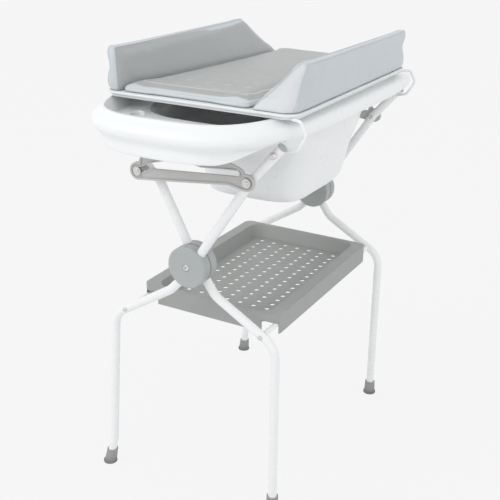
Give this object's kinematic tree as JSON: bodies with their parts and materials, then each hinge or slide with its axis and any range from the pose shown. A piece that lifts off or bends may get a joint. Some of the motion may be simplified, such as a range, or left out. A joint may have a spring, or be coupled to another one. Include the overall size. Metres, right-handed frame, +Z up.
{
  "type": "changing table",
  "caption": "Folding changing table on a crossed tube frame, with an anatomic bathtub, a holed shelf tray and a padded mat that opens sideways.",
  "frame": {"origin": "on the floor, under the middle of the table", "axes": "+X across the table to the mat's hinge side, +Y along the tub to its far, deeper end, +Z up"},
  "size_m": [0.5025, 0.9053, 1.0028],
  "materials": {
    "white_tube": "gloss",
    "bright_steel": "polished",
    "white_plastic": "gloss",
    "tray_plastic": "satin",
    "hub_plastic": "satin",
    "bracket_plastic": "satin",
    "grey_rubber": "matte",
    "pad_vinyl": "satin",
    "piping_vinyl": "satin",
    "board": "matte"
  },
  "bodies": {
    "outer_frame": {"outer_tube_near": "white_tube", "outer_tube_far": "white_tube", "outer_cross_tube": "white_tube", "outer_cross_tube_inserts": "hub_plastic", "outer_cross_tube_screws": "bright_steel", "hub_outer_near": "hub_plastic", "hub_outer_far": "hub_plastic", "hub_bolts": "bright_steel", "hub_nuts": "bright_steel", "outer_feet": "grey_rubber", "outer_tube_plugs": "hub_plastic", "bracket_near": "bracket_plastic", "bracket_far": "bracket_plastic", "bracket_bolts": "bright_steel", "shelf_tray": "tray_plastic", "tub": "white_plastic", "drain_plug": "white_plastic"},
    "inner_frame": {"inner_tube_near": "white_tube", "inner_tube_far": "white_tube", "inner_cross_tube": "white_tube", "inner_cross_tube_inserts": "hub_plastic", "inner_cross_tube_screws": "bright_steel", "hub_inner_near": "hub_plastic", "hub_inner_far": "hub_plastic", "inner_feet": "grey_rubber", "inner_tube_plugs": "hub_plastic", "slot_pins": "bright_steel", "slot_sleeves": "hub_plastic"},
    "mat": {"mat_board": "board", "mat_piping": "piping_vinyl", "mat_pad": "pad_vinyl", "left_bolster": "pad_vinyl", "right_bolster": "pad_vinyl", "hinge_wire_near": "white_tube", "hinge_wire_far": "white_tube", "hinge_caps": "bright_steel"}
  },
  "joints": [
    {"name": "frame_fold", "type": "hinge", "parent": "outer_frame", "child": "inner_frame", "pos_m": [-0.006, 0, 0.566], "axis": [0, 1, 0], "range_deg": [0, 44]},
    {"name": "mat_flip", "type": "hinge", "parent": "outer_frame", "child": "mat", "pos_m": [0.19291, 0, 0.83816], "axis": [0, 1, 0], "range_deg": [0, 95]}
  ]
}
